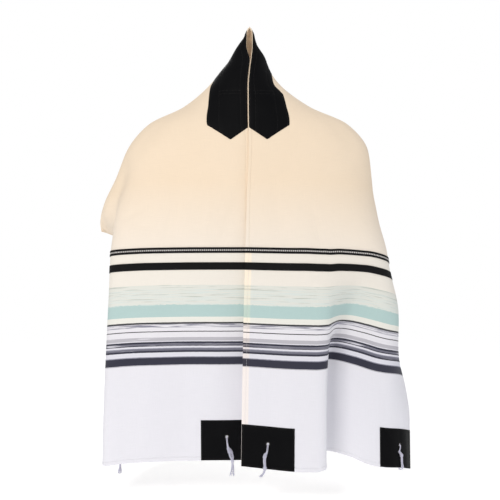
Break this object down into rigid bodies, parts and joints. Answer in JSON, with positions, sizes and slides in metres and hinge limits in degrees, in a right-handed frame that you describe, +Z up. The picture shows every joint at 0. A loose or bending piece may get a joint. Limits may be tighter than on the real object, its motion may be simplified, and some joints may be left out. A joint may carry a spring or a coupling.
{
  "type": "tallit prayer shawl, worn",
  "caption": "Long striped wool prayer shawl hanging over neck and shoulders, with a pointed satin neckband, ribbons, corner patches and knotted tassels; hollow, open at neck, front and hem.",
  "frame": {"origin": "centre of the wearer's neck base, where the shawl is held up", "axes": "+Z up along the neck, the shawl's front towards -Y, +X to the viewer's right from the front"},
  "size_m": [0.6586, 0.2808, 0.9509],
  "materials": {
    "ivory_wool": "warm ivory plain-woven wool, matt with a slight nap",
    "striped_wool": "white plain-woven wool with aqua, grey and navy-black stripes across",
    "black_satin": "black satin with a soft lustre and topstitching",
    "black_ribbon": "black grosgrain ribbon",
    "ladder_ribbon": "black ribbon with a row of pale ladder bars",
    "corner_patch": "black satin patch with an eyelet",
    "tassel_wool": "white twisted wool strands"
  },
  "bodies": {
    "root": {"centre_cloth": "ivory_wool", "end_panel_left": "striped_wool", "end_panel_right": "striped_wool", "neckband": "black_satin", "ladder_ribbon_left": "ladder_ribbon", "ladder_ribbon_right": "ladder_ribbon", "wide_ribbon_left": "black_ribbon", "wide_ribbon_right": "black_ribbon", "corner_patch_left_inner": "corner_patch", "tassel_left_inner": "tassel_wool", "corner_patch_left_outer": "corner_patch", "tassel_left_outer": "tassel_wool", "corner_patch_right_inner": "corner_patch", "tassel_right_inner": "tassel_wool", "corner_patch_right_outer": "corner_patch", "tassel_right_outer": "tassel_wool"}
  },
  "joints": []
}
